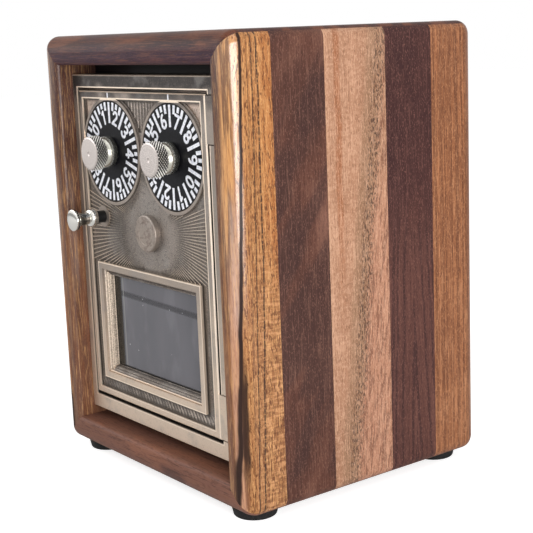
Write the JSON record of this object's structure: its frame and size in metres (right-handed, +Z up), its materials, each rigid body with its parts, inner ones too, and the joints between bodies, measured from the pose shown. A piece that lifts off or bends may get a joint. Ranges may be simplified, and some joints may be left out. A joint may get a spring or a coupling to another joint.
{
  "type": "post office box bank",
  "caption": "Glued wood money box with an old cast bronze letter box door in its mouth: combination dials, spool latch knob, glazed window and sliding bolt.",
  "frame": {"origin": "middle of the whole box on the surface that the feet stand on", "axes": "+Z up, the door faces -Y, the hinge is towards +X"},
  "size_m": [0.126, 0.1206, 0.1686],
  "materials": {
    "striped_wood": "golden brown wood with thin dark stripes, glossy lacquer",
    "walnut": "dark reddish walnut, glossy lacquer",
    "tan_wood": "pale pinkish tan wood with grey streaks, glossy lacquer",
    "orange_wood": "orange brown wood, glossy lacquer",
    "dark_wood": "wood stained nearly black",
    "bronze": "old cast bronze, grey brown in the low parts and worn bright on the edges",
    "brass_sheet": "dull yellow brass",
    "nickel": "bright nickel plate",
    "steel": "plain steel",
    "black_steel": "blackened steel",
    "dial_black": "black enamel with white marks and plain numbers",
    "glass": "clear glass, smoky with the dark inside",
    "felt": "black felt strip",
    "rubber": "black rubber"
  },
  "bodies": {
    "case": {"back_panel": "walnut", "back_panel_screws": "steel", "bottom_board": "walnut", "door_frame": "bronze", "foot_back_left": "rubber", "foot_back_right": "rubber", "foot_front_left": "rubber", "foot_front_right": "rubber", "foot_screws": "steel", "frame_screws": "steel", "hinge_pin_lower": "steel", "hinge_pin_upper": "steel", "left_strip_1": "striped_wood", "left_strip_2": "walnut", "left_strip_3": "tan_wood", "left_strip_4": "walnut", "left_strip_5": "orange_wood", "rail_bottom": "dark_wood", "rail_top": "dark_wood", "right_strip_1": "striped_wood", "right_strip_2": "walnut", "right_strip_3": "tan_wood", "right_strip_4": "walnut", "right_strip_5": "orange_wood", "top_board": "walnut"},
    "door": {"door_panel": "bronze", "window_glass": "glass", "window_gasket": "felt", "window_retainer": "brass_sheet", "retainer_screws": "steel", "centre_boss": "bronze", "boss_nut": "brass_sheet", "left_bush": "brass_sheet", "right_bush": "brass_sheet", "lock_case": "brass_sheet", "lock_cover": "brass_sheet", "lock_screws": "steel", "fence_lever": "brass_sheet", "fence_pivot": "steel", "latch_spring": "steel"},
    "left_dial_set": {"left_dial": "dial_black", "left_knob": "nickel", "left_spindle": "steel", "left_wheel": "brass_sheet", "left_wheel_nut": "brass_sheet"},
    "right_dial_set": {"right_dial": "dial_black", "right_knob": "nickel", "right_spindle": "steel", "right_wheel": "brass_sheet", "right_wheel_nut": "brass_sheet"},
    "latch_handle": {"latch_knob": "nickel", "latch_spindle": "black_steel", "latch_cam": "brass_sheet"},
    "bolt": {"latch_bolt": "brass_sheet"}
  },
  "joints": [
    {"name": "door_swing", "type": "hinge", "parent": "case", "child": "door", "pos_m": [0.0434, -0.0431, 0.08645], "axis": [0, 0, 1], "range_deg": [0, 100]},
    {"name": "left_dial_spin", "type": "hinge", "parent": "door", "child": "left_dial_set", "pos_m": [-0.0252, -0.046, 0.1247], "axis": [0, 1, 0], "continuous": true},
    {"name": "right_dial_spin", "type": "hinge", "parent": "door", "child": "right_dial_set", "pos_m": [0.0168, -0.046, 0.1247], "axis": [0, 1, 0], "continuous": true},
    {"name": "latch_turn", "type": "hinge", "parent": "door", "child": "latch_handle", "pos_m": [-0.0342, -0.0463, 0.0989], "axis": [0, 1, 0], "range_deg": [0, 45]},
    {"name": "bolt_slide", "type": "slide", "parent": "door", "child": "bolt", "axis": [1, 0, 0], "range_m": [0, 0.00459], "stiffness_N_per_m": 100, "springref_m": -0.001, "deforming": ["latch_spring"]}
  ],
  "couplings": [
    {"joint": "latch_turn", "follows": "bolt_slide", "rad_per_m": 171.03}
  ]
}
